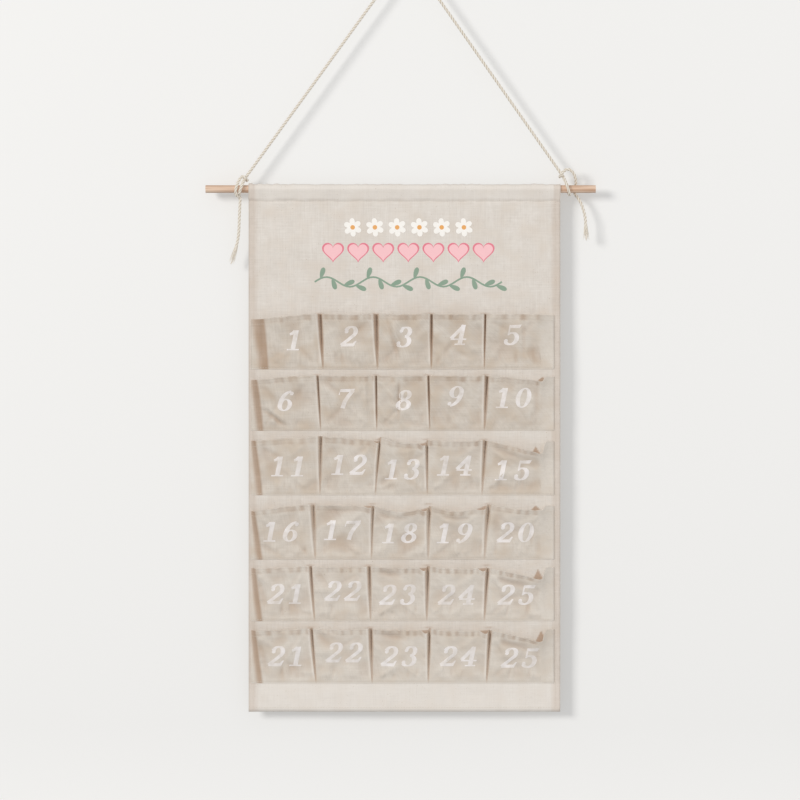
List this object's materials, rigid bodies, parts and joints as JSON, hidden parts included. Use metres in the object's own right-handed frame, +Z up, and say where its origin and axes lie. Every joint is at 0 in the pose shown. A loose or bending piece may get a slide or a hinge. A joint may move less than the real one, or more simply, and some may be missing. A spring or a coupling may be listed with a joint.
{
  "type": "hanging pocket countdown calendar",
  "caption": "Canvas wall hanging with rows of numbered sewn pockets, on a wooden dowel with a cord to hang it by, for counting down the days.",
  "frame": {"origin": "the point that the cord hangs from, inside the bend at its top", "axes": "+X to the right seen from the front, -Y towards the viewer, +Z up"},
  "size_m": [0.508, 0.0245, 0.9828],
  "materials": {
    "canvas": "unbleached plain weave, matte",
    "wood": "bare, sanded",
    "cotton_cord": "twisted cotton, matte",
    "print_white": "thin screen print",
    "print_orange": "thin screen print",
    "print_pink": "thin screen print",
    "print_rose": "thin screen print",
    "print_sage": "thin screen print"
  },
  "bodies": {
    "root": {"dowel": "wood", "back_panel": "canvas", "pocket_row_1": "canvas", "pocket_row_2": "canvas", "pocket_row_3": "canvas", "pocket_row_4": "canvas", "pocket_row_5": "canvas", "pocket_row_6": "canvas", "numbers_row_1": "print_white", "numbers_row_2": "print_white", "numbers_row_3": "print_white", "numbers_row_4": "print_white", "numbers_row_5": "print_white", "numbers_row_6": "print_white", "daisy_petals": "print_white", "daisy_eyes": "print_orange", "hearts": "print_pink", "heart_outlines": "print_rose", "leaf_vine": "print_sage", "hanging_cord": "cotton_cord", "knot_left": "cotton_cord", "knot_right": "cotton_cord", "tail_left": "cotton_cord", "tail_right": "cotton_cord"}
  },
  "joints": []
}
